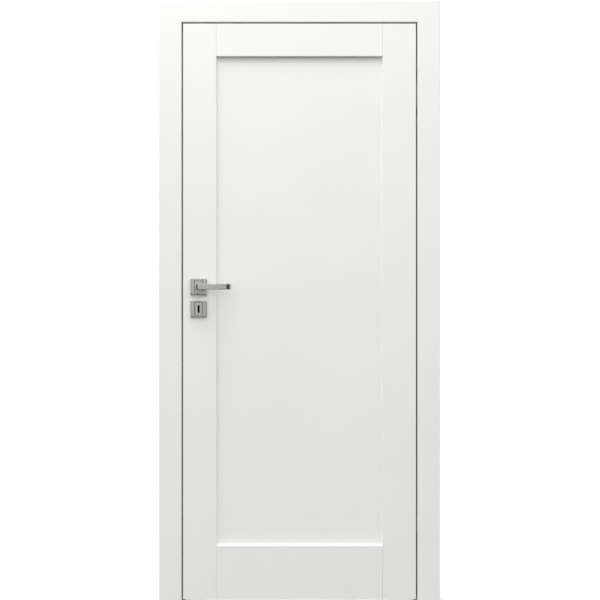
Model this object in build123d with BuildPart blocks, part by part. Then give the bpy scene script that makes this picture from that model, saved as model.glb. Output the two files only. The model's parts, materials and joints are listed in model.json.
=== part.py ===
from build123d import *

import math
import os

# Interior door with a flush closing panelled leaf in a cased wooden frame.
# Millimetres. +Z is up and +X is to the right of a person who faces the door.
# +Y runs through the wall, from the face that the leaf opens towards.
# The origin lies on the outer face of the hinge side jamb, at floor level,
# in the middle of the wall's thickness.

# Driving sizes of the leaf
LEAF_WIDTH = 818.0
LEAF_HEIGHT = 2020.0
LEAF_THICKNESS = 40.0
LEADING_BEVEL = 2.0
STILE_WIDTH = 116.0
TOP_RAIL_WIDTH = 114.0
BOTTOM_RAIL_WIDTH = 186.0
PANEL_THICKNESS = 12.0
SHOULDER_WIDTH = 6.0
GROOVE_DEPTH = 12.0
GROOVE_PLAY = 0.2
PANEL_PLAY = 2.0
JOINT_VEE_WIDTH = 1.6
JOINT_VEE_DEPTH = 4.0
LEAF_ARRIS = 1.0

# Driving sizes of the frame
WALL_THICKNESS = 100.0
JAMB_THICKNESS = 34.0
STOP_DEPTH = 12.0
CASING_WIDTH = 79.0
CASING_THICKNESS = 12.0
CASING_ROUND = 2.5
LEAF_GAP = 5.0
FLOOR_GAP = 8.0
SEAL_GAP = 5.0
SEAL_WIDTH = 8.0
SEAL_PLAY = 0.3
SEAL_BARB = 3.0
SEAL_BARB_DEPTH = 6.0
SEAL_SET_IN = 1.5
SEAL_ROUND_SHARE = 0.33

# Driving sizes of the lock and its strike
BACKSET = 55.0
SPINDLE_HEIGHT = 1096.0
KEY_DROP = 78.0
SPINDLE_SIDE = 8.0
FOREND_WIDTH = 20.0
FOREND_HEIGHT = 235.0
FOREND_THICKNESS = 3.0
CASE_DEPTH = 85.0
CASE_HEIGHT = 165.0
CASE_THICKNESS = 14.0
CASE_PLAY = 0.5
LATCH_LENGTH = 36.0
FOLLOWER_RADIUS = 7.0
LATCH_WIDTH = 12.0
LATCH_HEIGHT = 20.0
LATCH_DROP = 4.0
LATCH_NOSE_SHARE = 0.75
BOLT_THROUGH = 11.0
BOLT_HEIGHT = 28.0
BOLT_LENGTH = 40.0
BOLT_PLAY = 0.4
STRIKE_WIDTH = 22.0
STRIKE_HEIGHT = 198.0
STRIKE_THICKNESS = 2.5
STRIKE_SLOT_PLAY = 2.0
KEEPER_DEPTH = 20.0
SPINDLE_BORE = 11.0

# Driving sizes of the roses and the levers
ROSE_SIDE = 57.0
ROSE_THICKNESS = 8.0
ROSE_BEVEL = 2.5
PLATE_WIDTH = 26.0
PLATE_HEIGHT = 44.0
PLATE_SEAT_DEPTH = 3.0
PLATE_SEAT_EDGE = 1.0
PLATE_SUNK = 1.0
PLATE_EDGE = 0.4
PLATE_PLAY = 0.5
KEY_EYE_RADIUS = 4.25
KEY_SLOT_WIDTH = 7.0
KEY_SLOT_LENGTH = 27.5
NECK_RADIUS = 9.2
NECK_START = 1.0
SOCKET_DEPTH = 18.0
RUNNING_CLEARANCE = 0.1
LEVER_HEIGHT = 20.0
LEVER_THICKNESS = 10.0
LEVER_REACH = 58.0
LEVER_LENGTH = 115.0
LEVER_HEEL = 10.0
LEVER_ELBOW = 10.0
LEVER_TURN_EASE = 0.5
LEVER_RETURN_RADIUS = 13.0
LEVER_RETURN = 26.0
LEVER_TIP_EDGE = 1.2

# Driving sizes of the concealed hinges
HINGE_HEIGHT = 116.0
UPPER_HINGE_DROP = 250.0
LOWER_HINGE_RISE = 260.0
AXIS_FORWARD = 2.5
POCKET_NEAR = 10.0
POCKET_FAR = 36.0
POCKET_DEPTH = 25.0
HOUSING_WALL = 2.5
HOUSING_END = 8.0
HOUSING_ROUND = 10.0
PIN_RADIUS = 2.0
PIN_INSET = 10.5
PIN_BACK = 15.0
ARM_THICKNESS = 7.0
ARM_KNEE_BACK = 30.0
ARM_TIP_SIDE = 21.5
ARM_TIP_BACK = 24.5
ARM_TIP_KNEE = 17.5
ARM_KNEE_RADIUS = 6.0
ARM_TIP_RADIUS = 4.0
ARM_PLAY = 1.0
PIN_CLEARANCE = 0.05
MIDDLE_ARM_SHARE = 0.4

# Planes of the frame
X_JAMB = -JAMB_THICKNESS
X_STOP = X_JAMB - STOP_DEPTH
X_HINGE_EDGE = X_JAMB - LEAF_GAP
X_LOCK_EDGE = X_HINGE_EDGE - LEAF_WIDTH
X_LOCK_REBATE = X_LOCK_EDGE - LEAF_GAP
X_LOCK_STOP = X_LOCK_REBATE + STOP_DEPTH
X_LOCK_WALL = X_LOCK_REBATE - JAMB_THICKNESS
Y_WALL = -WALL_THICKNESS / 2
Y_WALL_REAR = WALL_THICKNESS / 2
Y_FACE = Y_WALL - CASING_THICKNESS
Y_BACK = Y_FACE + LEAF_THICKNESS
Y_STOP = Y_BACK + SEAL_GAP
Y_MIDDLE = Y_FACE + LEAF_THICKNESS / 2
Z_LEAF = FLOOR_GAP
Z_LEAF_TOP = Z_LEAF + LEAF_HEIGHT
Z_REBATE = Z_LEAF_TOP + LEAF_GAP
Z_STOP = Z_REBATE - STOP_DEPTH
Z_HEAD = Z_REBATE + JAMB_THICKNESS
Z_CASING = Z_REBATE + CASING_WIDTH

# Places in the leaf
RECESS = (LEAF_THICKNESS - PANEL_THICKNESS) / 2
X_LOCK_STILE = X_LOCK_EDGE + STILE_WIDTH
X_HINGE_STILE = X_HINGE_EDGE - STILE_WIDTH
Z_TOP_RAIL = Z_LEAF_TOP - TOP_RAIL_WIDTH
Z_BOTTOM_RAIL = Z_LEAF + BOTTOM_RAIL_WIDTH
GROOVE_REACH = SHOULDER_WIDTH - GROOVE_DEPTH
PANEL_REACH = GROOVE_REACH + PANEL_PLAY
X_SPINDLE = X_LOCK_EDGE + BACKSET
Z_SPINDLE = Z_LEAF + SPINDLE_HEIGHT
Z_KEY = Z_SPINDLE - KEY_DROP
CASE_CENTRE_DROP = KEY_DROP / 2
Z_CASE = Z_SPINDLE - CASE_CENTRE_DROP
STRIKE_SLOT_WIDTH = LATCH_WIDTH + 2 * STRIKE_SLOT_PLAY
Z_LATCH = Z_SPINDLE - LATCH_DROP

# Places in the hinges
X_AXIS = X_JAMB - LEAF_GAP / 2
Y_AXIS = Y_FACE - AXIS_FORWARD
Z_UPPER_HINGE = Z_LEAF_TOP - UPPER_HINGE_DROP
Z_LOWER_HINGE = Z_LEAF + LOWER_HINGE_RISE
PIN_SIDE = LEAF_GAP / 2 + PIN_INSET
POCKET_HEIGHT = HINGE_HEIGHT - 2 * HOUSING_END
MIDDLE_ARM_HEIGHT = MIDDLE_ARM_SHARE * POCKET_HEIGHT
OUTER_ARM_HEIGHT = (POCKET_HEIGHT - MIDDLE_ARM_HEIGHT - 4 * ARM_PLAY) / 2


os.makedirs("parts", exist_ok=True)


def write(piece, name):
    piece.part.label = name
    export_step(piece.part, f"parts/{name}.step")


def lock_edge_x(y):
    return X_LOCK_EDGE + LEADING_BEVEL * (y - Y_FACE) / LEAF_THICKNESS


def box_between(low, high, mode=Mode.ADD):
    """Adds or cuts the upright box between two opposite corners."""
    middle = (Vector(*low) + Vector(*high)) / 2
    size = Vector(*high) - Vector(*low)
    with Locations(middle):
        Box(abs(size.X), abs(size.Y), abs(size.Z), mode=mode)


# Frame boards
def side_jamb(x_wall, x_rebate, x_stop, name):
    """One upright jamb: the wall board with the stop left standing behind its rebate."""
    inward = math.copysign(1.0, x_stop - x_rebate)
    x_barb = x_stop - inward * (STOP_DEPTH - SEAL_SET_IN)
    with BuildPart() as jamb:
        with BuildSketch(Plane.XY):
            with BuildLine():
                Polyline(
                    (x_wall, Y_WALL), (x_rebate, Y_WALL), (x_rebate, Y_STOP),
                    (x_stop, Y_STOP), (x_stop, Y_WALL_REAR), (x_wall, Y_WALL_REAR),
                    close=True,
                )
            make_face()
        extrude(amount=Z_REBATE)
        barb_far = x_barb + inward * SEAL_BARB
        box_between(
            (x_barb, Y_STOP, 0), (barb_far, Y_STOP + SEAL_BARB_DEPTH, Z_REBATE), Mode.SUBTRACT
        )
        if x_stop > x_rebate:
            cut_strike_seat()
        else:
            for z_hinge in (Z_UPPER_HINGE, Z_LOWER_HINGE):
                housing_block(z_hinge, 1)
    write(jamb, name)


def cut_strike_seat():
    """Sinks the seat of the strike plate and the two pockets behind its slots."""
    low_z, high_z = strike_span()
    box_between(
        (X_LOCK_REBATE, Y_MIDDLE - STRIKE_WIDTH / 2, low_z),
        (X_LOCK_REBATE - STRIKE_THICKNESS, Y_MIDDLE + STRIKE_WIDTH / 2, high_z),
        Mode.SUBTRACT,
    )
    for z_low, z_high in strike_slots():
        box_between(
            (X_LOCK_REBATE, Y_MIDDLE - STRIKE_SLOT_WIDTH / 2, z_low),
            (X_LOCK_REBATE - KEEPER_DEPTH, Y_MIDDLE + STRIKE_SLOT_WIDTH / 2, z_high),
            Mode.SUBTRACT,
        )


def strike_span():
    return Z_CASE - STRIKE_HEIGHT / 2, Z_CASE + STRIKE_HEIGHT / 2


def strike_slots():
    """Heights of the latch slot and of the bolt slot."""
    half_latch = LATCH_HEIGHT / 2 + STRIKE_SLOT_PLAY
    half_bolt = BOLT_HEIGHT / 2 + STRIKE_SLOT_PLAY
    return (Z_LATCH - half_latch, Z_LATCH + half_latch), (Z_KEY - half_bolt, Z_KEY + half_bolt)


def housing_block(z_hinge, side, mode=Mode.SUBTRACT):
    """The seat of one hinge housing, or its body; side is 1 in the frame and -1 in the leaf."""
    width = POCKET_FAR - POCKET_NEAR + 2 * HOUSING_WALL
    with BuildSketch(Plane.YZ.offset(X_AXIS + side * LEAF_GAP / 2)) as outline:
        with Locations((Y_AXIS + (POCKET_NEAR + POCKET_FAR) / 2, z_hinge)):
            RectangleRounded(width, HINGE_HEIGHT, HOUSING_ROUND)
    extrude(outline.sketch, amount=side * (POCKET_DEPTH + HOUSING_WALL), mode=mode)


side_jamb(0, X_JAMB, X_STOP, "hinge_side_jamb")
side_jamb(X_LOCK_WALL, X_LOCK_REBATE, X_LOCK_STOP, "lock_side_jamb")

with BuildPart() as head_jamb:
    box_between((X_LOCK_WALL, Y_WALL, Z_REBATE), (0, Y_WALL_REAR, Z_HEAD))
    box_between((X_LOCK_STOP, Y_STOP, Z_STOP), (X_STOP, Y_WALL_REAR, Z_REBATE))
    groove_top = Z_STOP + STOP_DEPTH - SEAL_SET_IN
    box_between(
        (X_LOCK_STOP, Y_STOP, groove_top - SEAL_BARB),
        (X_STOP, Y_STOP + SEAL_BARB_DEPTH, groove_top),
        Mode.SUBTRACT,
    )
write(head_jamb, "head_jamb")


# Casings
def casing_outline():
    """Outer and inner edges of the casing as seen from the front."""
    outer = (X_LOCK_REBATE - CASING_WIDTH, X_JAMB + CASING_WIDTH, Z_CASING)
    inner = (X_LOCK_REBATE, X_JAMB, Z_REBATE)
    return outer, inner


def casing_points(piece):
    (left, right, top), (inner_left, inner_right, inner_top) = casing_outline()
    points = {
        "lock_side": ((left, 0), (inner_left, 0), (inner_left, inner_top), (left, top)),
        "hinge_side": ((inner_right, 0), (right, 0), (right, top), (inner_right, inner_top)),
        "head": ((inner_left, inner_top), (inner_right, inner_top), (right, top), (left, top)),
    }
    return points[piece]


def casing(piece, y_wall, outward, name):
    """One mitred board; outward is -1 on the front of the wall and 1 on its rear."""
    along = Axis.X if piece == "head" else Axis.Z
    with BuildPart() as board:
        with BuildSketch(Plane.XZ.offset(-y_wall)):
            with BuildLine():
                Polyline(*casing_points(piece), close=True)
            make_face()
        extrude(amount=-outward * CASING_THICKNESS)
        shown = board.faces().sort_by(Axis.Y)[0 if outward < 0 else -1]
        fillet(shown.edges().filter_by(along), CASING_ROUND)
        if outward < 0 and piece == "hinge_side":
            for z_hinge in (Z_UPPER_HINGE, Z_LOWER_HINGE):
                housing_block(z_hinge, 1)
        if outward < 0 and piece == "lock_side":
            cut_strike_seat()
    write(board, name)


for side in ("hinge_side", "lock_side", "head"):
    casing(side, Y_WALL, -1, f"front_casing_{side}")
    casing(side, Y_WALL_REAR, 1, f"rear_casing_{side}")


# Seals
def seal(corner, into_opening, length, barb_end, name):
    """A rubber bulb on a barb that stops short of both ends; the leaf closes on the bulb."""
    to_leaf = Vector(0, -1, 0)
    section = Plane(origin=corner, x_dir=into_opening, z_dir=Vector(*into_opening).cross(to_leaf))
    bulb = SEAL_GAP - SEAL_PLAY
    with BuildPart() as strip:
        with BuildSketch(section):
            with Locations((SEAL_WIDTH / 2, bulb / 2)):
                RectangleRounded(SEAL_WIDTH, bulb, SEAL_ROUND_SHARE * bulb)
        extrude(amount=length)
        with BuildSketch(section.offset(barb_end)):
            with Locations((SEAL_SET_IN + SEAL_BARB / 2, bulb / 2)):
                Rectangle(SEAL_BARB, SEAL_BARB_DEPTH + bulb / 2, align=(Align.CENTER, Align.MAX))
        extrude(amount=length - 2 * barb_end)
    write(strip, name)


seal((X_JAMB, Y_STOP, Z_REBATE), (-1, 0, 0), -Z_REBATE, 0, "seal_hinge_side")
seal((X_LOCK_REBATE, Y_STOP, Z_REBATE), (1, 0, 0), Z_REBATE, 0, "seal_lock_side")
head_length = X_JAMB - X_LOCK_REBATE - 2 * SEAL_WIDTH
seal(
    (X_JAMB - SEAL_WIDTH, Y_STOP, Z_REBATE), (0, 0, -1), head_length,
    STOP_DEPTH - SEAL_WIDTH, "seal_head",
)


# Strike plate on the lock side jamb
with BuildPart() as strike_plate:
    strike_low, strike_high = strike_span()
    box_between(
        (X_LOCK_REBATE - STRIKE_THICKNESS, Y_MIDDLE - STRIKE_WIDTH / 2, strike_low),
        (X_LOCK_REBATE, Y_MIDDLE + STRIKE_WIDTH / 2, strike_high),
    )
    for slot_low, slot_high in strike_slots():
        box_between(
            (X_LOCK_REBATE - STRIKE_THICKNESS, Y_MIDDLE - STRIKE_SLOT_WIDTH / 2, slot_low),
            (X_LOCK_REBATE, Y_MIDDLE + STRIKE_SLOT_WIDTH / 2, slot_high),
            Mode.SUBTRACT,
        )
write(strike_plate, "strike_plate")


# Boards of the leaf
def shoulder_points(inner, inward):
    """The moulded inner edge of a stile or rail, from the front face round the groove to the back."""
    shoulder = inner + inward * SHOULDER_WIDTH
    groove = inner + inward * GROOVE_REACH
    y_near = Y_FACE + RECESS - GROOVE_PLAY
    y_far = Y_BACK - RECESS + GROOVE_PLAY
    return [
        (inner, Y_FACE), (shoulder, y_near), (groove, y_near),
        (groove, y_far), (shoulder, y_far), (inner, Y_BACK),
    ]


def stile(outer_front, outer_back, inner, inward):
    """An upright of the leaf, full height, with its outer arrises eased."""
    with BuildPart() as board:
        with BuildSketch(Plane.XY.offset(Z_LEAF)):
            with BuildLine():
                Polyline(
                    (outer_front, Y_FACE), *shoulder_points(inner, inward), (outer_back, Y_BACK),
                    close=True,
                )
            make_face()
        extrude(amount=LEAF_HEIGHT)
        uprights = board.edges().filter_by(Axis.Z)
        arrises = uprights.sort_by(Axis.X)[:2] if inward > 0 else uprights.sort_by(Axis.X)[-2:]
        chamfer(arrises, LEAF_ARRIS)
    return board


with BuildPart() as hinge_stile:
    add(stile(X_HINGE_EDGE, X_HINGE_EDGE, X_HINGE_STILE, -1).part)
    for z_hinge in (Z_UPPER_HINGE, Z_LOWER_HINGE):
        housing_block(z_hinge, -1)
write(hinge_stile, "hinge_stile")


def keyhole(y_from, y_to, play=0.0):
    """Cuts the keyhole, a round eye over a slot, between two planes of the leaf."""
    eye_z = Z_KEY + KEY_SLOT_LENGTH / 2 - KEY_EYE_RADIUS
    foot_z = Z_KEY - KEY_SLOT_LENGTH / 2 + KEY_SLOT_WIDTH / 2
    with BuildSketch(Plane.XZ.offset(-y_from)) as outline:
        with Locations((X_SPINDLE, eye_z)):
            Circle(KEY_EYE_RADIUS + play)
        with Locations((X_SPINDLE, (eye_z + foot_z) / 2)):
            Rectangle(KEY_SLOT_WIDTH + 2 * play, eye_z - foot_z)
        with Locations((X_SPINDLE, foot_z)):
            Circle(KEY_SLOT_WIDTH / 2 + play)
    extrude(outline.sketch, amount=y_from - y_to, mode=Mode.SUBTRACT)


def cross_cylinder(radius, height, y_from, y_to, mode=Mode.SUBTRACT):
    """A round bore, or a round boss, square to the leaf on the backset line."""
    with BuildSketch(Plane.XZ.offset(-y_from)) as outline:
        with Locations((X_SPINDLE, height)):
            Circle(radius)
    extrude(outline.sketch, amount=y_from - y_to, mode=mode)


def forend_plate(outset, mode=Mode.ADD):
    """The forend, flush in the bevelled edge of the leaf, or with outset its seat."""
    near, far = Y_MIDDLE - FOREND_WIDTH / 2, Y_MIDDLE + FOREND_WIDTH / 2
    with BuildSketch(Plane.XY.offset(Z_CASE - FOREND_HEIGHT / 2)) as plan:
        with BuildLine():
            Polyline(
                (lock_edge_x(near) - outset, near), (lock_edge_x(near) + FOREND_THICKNESS, near),
                (lock_edge_x(far) + FOREND_THICKNESS, far), (lock_edge_x(far) - outset, far),
                close=True,
            )
        make_face()
    extrude(plan.sketch, amount=FOREND_HEIGHT, mode=mode)


def case_box(play, mode=Mode.ADD):
    """The lock case behind its forend, or with play the mortise that takes both."""
    y_far = Y_MIDDLE + CASE_THICKNESS / 2
    start = X_LOCK_EDGE if play else lock_edge_x(y_far) + FOREND_THICKNESS
    box_between(
        (start, Y_MIDDLE - CASE_THICKNESS / 2 - play, Z_CASE - CASE_HEIGHT / 2 - play),
        (X_LOCK_EDGE + CASE_DEPTH + play, y_far + play, Z_CASE + CASE_HEIGHT / 2 + play),
        mode,
    )


def bolt_box(length, width, height, z_middle, play, mode=Mode.ADD):
    """A bolt, or with play its channel, from flush with the forend into the case."""
    flush = lock_edge_x(Y_MIDDLE + width / 2)
    box_between(
        (flush - (LEADING_BEVEL if play else 0), Y_MIDDLE - width / 2 - play, z_middle - height / 2 - play),
        (X_LOCK_EDGE + length + play, Y_MIDDLE + width / 2 + play, z_middle + height / 2 + play),
        mode,
    )


def latch_box(play=0.0, mode=Mode.ADD):
    bolt_box(LATCH_LENGTH, LATCH_WIDTH, LATCH_HEIGHT, Z_LATCH, play, mode)


def dead_bolt_box(play=0.0, mode=Mode.ADD):
    bolt_box(BOLT_LENGTH, BOLT_THROUGH, BOLT_HEIGHT, Z_KEY, play, mode)


with BuildPart() as lock_stile:
    add(stile(X_LOCK_EDGE, lock_edge_x(Y_BACK), X_LOCK_STILE, 1).part)
    forend_plate(LEAF_GAP, Mode.SUBTRACT)
    case_box(CASE_PLAY, Mode.SUBTRACT)
    cross_cylinder(SPINDLE_BORE, Z_SPINDLE, Y_FACE, Y_BACK)
    keyhole(Y_FACE, Y_BACK, CASE_PLAY)
write(lock_stile, "lock_stile")


def rail(outer, inner, inward, name):
    """A crossbar of the leaf, coped over both stiles and tenoned into their grooves."""
    with BuildPart() as board:
        with BuildSketch(Plane.YZ.offset(X_LOCK_STILE)):
            with BuildLine():
                outline = [(outer, Y_FACE)] + shoulder_points(inner, inward) + [(outer, Y_BACK)]
                Polyline(*[(y, z) for z, y in outline], close=True)
            make_face()
        extrude(amount=X_HINGE_STILE - X_LOCK_STILE)
        ends = board.faces().sort_by(Axis.X)
        for end in (ends[0], ends[-1]):
            by_depth = end.edges().filter_by(Axis.Z).sort_by(Axis.Y)
            shown = [by_depth[0], by_depth[-1]]
            chamfer(shown, JOINT_VEE_DEPTH, JOINT_VEE_WIDTH, reference=end)
        tenon_end = inner + inward * GROOVE_REACH
        box_between(
            (X_LOCK_STILE + GROOVE_REACH, Y_FACE + RECESS, outer),
            (X_HINGE_STILE - GROOVE_REACH, Y_BACK - RECESS, tenon_end),
        )
        add(lock_stile.part, mode=Mode.SUBTRACT)
        add(hinge_stile.part, mode=Mode.SUBTRACT)
    write(board, name)


rail(Z_LEAF_TOP, Z_TOP_RAIL, -1, "top_rail")
rail(Z_LEAF, Z_BOTTOM_RAIL, 1, "bottom_rail")

with BuildPart() as door_panel:
    box_between(
        (X_LOCK_STILE + PANEL_REACH, Y_FACE + RECESS, Z_BOTTOM_RAIL + PANEL_REACH),
        (X_HINGE_STILE - PANEL_REACH, Y_BACK - RECESS, Z_TOP_RAIL - PANEL_REACH),
    )
write(door_panel, "door_panel")


# Mortise lock
with BuildPart() as lock_case:
    case_box(0)
    latch_box(BOLT_PLAY, Mode.SUBTRACT)
    dead_bolt_box(BOLT_PLAY, Mode.SUBTRACT)
    cross_cylinder(FOLLOWER_RADIUS, Z_SPINDLE, Y_FACE, Y_BACK)
    keyhole(Y_FACE, Y_BACK)
write(lock_case, "lock_case")

with BuildPart() as lock_forend:
    forend_plate(0)
    latch_box(BOLT_PLAY, Mode.SUBTRACT)
    dead_bolt_box(BOLT_PLAY, Mode.SUBTRACT)
write(lock_forend, "lock_forend")

with BuildPart() as latch_bolt:
    latch_box()
    nose = latch_bolt.faces().sort_by(Axis.X)[0].edges().sort_by(Axis.Y)[-1]
    chamfer(nose, LATCH_NOSE_SHARE * LATCH_WIDTH)
write(latch_bolt, "latch_bolt")

with BuildPart() as dead_bolt:
    dead_bolt_box()
write(dead_bolt, "dead_bolt")


# Roses, one square plate with a smaller plate let into it
def rose(y_leaf, outward, height, cut, name):
    """A square rose whose front edges are bevelled; cut opens it for the neck or the key."""
    y_front = y_leaf + outward * ROSE_THICKNESS
    y_seat = y_front - outward * PLATE_SEAT_DEPTH
    with BuildPart() as square:
        half = ROSE_SIDE / 2
        box_between(
            (X_SPINDLE - half, y_leaf, height - half), (X_SPINDLE + half, y_front, height + half)
        )
        shown = square.faces().sort_by(Axis.Y)[0 if outward < 0 else -1]
        chamfer(shown.edges(), ROSE_BEVEL)
        half_width = PLATE_WIDTH / 2 + PLATE_PLAY
        half_height = PLATE_HEIGHT / 2 + PLATE_PLAY
        box_between(
            (X_SPINDLE - half_width, y_seat, height - half_height),
            (X_SPINDLE + half_width, y_front, height + half_height),
            Mode.SUBTRACT,
        )
        rim = square.faces().sort_by(Axis.Y)[0 if outward < 0 else -1]
        chamfer(rim.inner_wires().edges(), PLATE_SEAT_EDGE)
        cut(y_leaf, y_front)
    write(square, f"{name}_rose")
    y_plate = y_front - outward * PLATE_SUNK
    with BuildPart() as plate:
        box_between(
            (X_SPINDLE - PLATE_WIDTH / 2, y_seat, height - PLATE_HEIGHT / 2),
            (X_SPINDLE + PLATE_WIDTH / 2, y_plate, height + PLATE_HEIGHT / 2),
        )
        shown = plate.faces().sort_by(Axis.Y)[0 if outward < 0 else -1]
        chamfer(shown.edges(), PLATE_EDGE)
        cut(y_seat, y_plate)
    write(plate, f"{name}_plate")


def open_for_neck(y_from, y_to):
    cross_cylinder(NECK_RADIUS + RUNNING_CLEARANCE, Z_SPINDLE, y_from, y_to)


# Levers
def lever(y_leaf, outward, name):
    """A lever on a round neck that turns along the leaf and back to it at its end."""
    def out(distance):
        return y_leaf + outward * distance

    bar_line = LEVER_REACH - LEVER_THICKNESS / 2
    elbow_start = bar_line - LEVER_ELBOW
    elbow_x = X_SPINDLE - LEVER_HEEL + LEVER_THICKNESS / 2
    end_x = X_SPINDLE + LEVER_LENGTH - LEVER_THICKNESS / 2
    with BuildPart() as handle:
        bar_rear = LEVER_REACH - LEVER_THICKNESS
        cross_cylinder(NECK_RADIUS, Z_SPINDLE, out(NECK_START), out(bar_rear), Mode.ADD)
        with BuildSketch(Plane.XZ.offset(-out(elbow_start))) as section:
            with Locations((elbow_x, Z_SPINDLE)):
                Rectangle(LEVER_THICKNESS, LEVER_HEIGHT)
        with BuildLine() as run:
            FilletPolyline(
                (elbow_x, out(elbow_start), Z_SPINDLE),
                (elbow_x, out(bar_line), Z_SPINDLE),
                (end_x, out(bar_line), Z_SPINDLE),
                (end_x, out(LEVER_REACH - LEVER_RETURN), Z_SPINDLE),
                radius=[LEVER_ELBOW - LEVER_TURN_EASE, LEVER_RETURN_RADIUS],
            )
        sweep(section.sketch, path=run.wire())
        tip = handle.faces().filter_by(Axis.Y).sort_by(Axis.X)[-1]
        chamfer(tip.edges(), LEVER_TIP_EDGE)
        half = SPINDLE_SIDE / 2
        box_between(
            (X_SPINDLE - half, out(NECK_START), Z_SPINDLE - half),
            (X_SPINDLE + half, out(SOCKET_DEPTH), Z_SPINDLE + half),
            Mode.SUBTRACT,
        )
    write(handle, name)


for side, y_leaf, outward in (("front", Y_FACE, -1), ("rear", Y_BACK, 1)):
    rose(y_leaf, outward, Z_SPINDLE, open_for_neck, f"{side}_lever")
    rose(y_leaf, outward, Z_KEY, keyhole, f"{side}_key")
    lever(y_leaf, outward, f"{side}_lever")

with BuildPart() as spindle:
    half_side = SPINDLE_SIDE / 2
    box_between(
        (X_SPINDLE - half_side, Y_FACE - SOCKET_DEPTH, Z_SPINDLE - half_side),
        (X_SPINDLE + half_side, Y_BACK + SOCKET_DEPTH, Z_SPINDLE + half_side),
    )
write(spindle, "spindle")


# Concealed hinges: crossed arms that fold into two pockets
def hinge_housing(z_hinge, side, name):
    """A pocket with its pin; side is 1 in the frame and -1 in the leaf."""
    edge = X_AXIS + side * LEAF_GAP / 2
    with BuildPart() as housing:
        housing_block(z_hinge, side, Mode.ADD)
        box_between(
            (edge, Y_AXIS + POCKET_NEAR, z_hinge - POCKET_HEIGHT / 2),
            (edge + side * POCKET_DEPTH, Y_AXIS + POCKET_FAR, z_hinge + POCKET_HEIGHT / 2),
            Mode.SUBTRACT,
        )
        with BuildSketch(Plane.XY.offset(z_hinge - POCKET_HEIGHT / 2)):
            with Locations((X_AXIS + side * PIN_SIDE, Y_AXIS + PIN_BACK)):
                Circle(PIN_RADIUS)
        extrude(amount=POCKET_HEIGHT)
    write(housing, name)


def hinge_arms(side, spans, name):
    """Arms that run round their own pin, out behind the gap and into the other pocket."""
    pin = (X_AXIS + side * PIN_SIDE, Y_AXIS + PIN_BACK)
    with BuildPart() as arms:
        for z_low, z_high in spans:
            with BuildSketch(Plane.XY.offset(z_low)):
                with BuildLine():
                    FilletPolyline(
                        pin,
                        (X_AXIS + side * PIN_SIDE, Y_AXIS + ARM_KNEE_BACK),
                        (X_AXIS - side * ARM_TIP_KNEE, Y_AXIS + ARM_KNEE_BACK),
                        (X_AXIS - side * ARM_TIP_SIDE, Y_AXIS + ARM_TIP_BACK),
                        radius=[ARM_KNEE_RADIUS, ARM_TIP_RADIUS],
                    )
                    offset(amount=ARM_THICKNESS / 2, side=Side.BOTH, mode=Mode.REPLACE)
                make_face()
                with Locations(pin):
                    Circle(PIN_RADIUS + PIN_CLEARANCE, mode=Mode.SUBTRACT)
            extrude(amount=z_high - z_low)
    write(arms, name)


middle = MIDDLE_ARM_HEIGHT / 2
outer_low = middle + ARM_PLAY
outer_high = outer_low + OUTER_ARM_HEIGHT
for place, z_hinge in (("upper", Z_UPPER_HINGE), ("lower", Z_LOWER_HINGE)):
    hinge_housing(z_hinge, 1, f"{place}_hinge_frame_housing")
    hinge_housing(z_hinge, -1, f"{place}_hinge_leaf_housing")
    hinge_arms(1, [(z_hinge - middle, z_hinge + middle)], f"{place}_hinge_frame_arm")
    hinge_arms(
        -1,
        [(z_hinge + outer_low, z_hinge + outer_high), (z_hinge - outer_high, z_hinge - outer_low)],
        f"{place}_hinge_leaf_arms",
    )
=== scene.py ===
# %% [markdown]
# # A white interior door in its frame
#
# The real object is a framed and panelled leaf that closes flush into a cased wooden frame. It has lever
# handles on square roses, a keyhole under each, and two hinges that are out of sight while the door is
# shut. All the wood, and the mechanism inside the edges, is already modelled as exact solids. This lesson
# adds what such solids lack: the finish of each surface, the rounded metalwork that a hand touches, and
# the screws.

# %% Load the exact solids
import math

import bmesh
import bpy
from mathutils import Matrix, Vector
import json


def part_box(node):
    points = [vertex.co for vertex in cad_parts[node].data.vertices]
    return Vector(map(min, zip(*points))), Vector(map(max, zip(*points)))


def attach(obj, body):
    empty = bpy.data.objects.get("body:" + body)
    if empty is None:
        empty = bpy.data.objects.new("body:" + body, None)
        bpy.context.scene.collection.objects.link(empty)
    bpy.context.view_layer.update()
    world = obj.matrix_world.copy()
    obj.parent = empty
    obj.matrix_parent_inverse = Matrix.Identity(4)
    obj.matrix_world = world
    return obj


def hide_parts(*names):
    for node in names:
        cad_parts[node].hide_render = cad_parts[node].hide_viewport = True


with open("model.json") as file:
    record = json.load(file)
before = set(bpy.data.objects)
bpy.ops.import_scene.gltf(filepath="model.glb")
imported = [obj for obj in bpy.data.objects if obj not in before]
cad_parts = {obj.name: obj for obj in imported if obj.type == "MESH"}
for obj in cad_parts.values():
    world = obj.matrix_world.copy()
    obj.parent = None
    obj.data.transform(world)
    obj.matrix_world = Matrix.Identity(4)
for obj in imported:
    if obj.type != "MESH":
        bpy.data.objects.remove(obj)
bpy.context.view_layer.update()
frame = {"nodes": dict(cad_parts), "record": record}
nodes = frame["nodes"]

# %% [markdown]
# ## Where the eye stands
#
# The door is seen straight on, from half its own height, so its edges stay parallel. A wide lens close by
# would make the middle bulge. A long lens from ten metres keeps the edges true, and the width that it sees
# is set from the picture's own scale.

# %% Camera
FACE_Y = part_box("lock_stile")[0].y
EYE_DISTANCE = 10.0
EYE_X = -0.4462
EYE_Z = 1.0575
SEEN_WIDTH = 2.1066
SIGHT_END = 100
QUARTER_TURN = math.pi / 2

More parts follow.
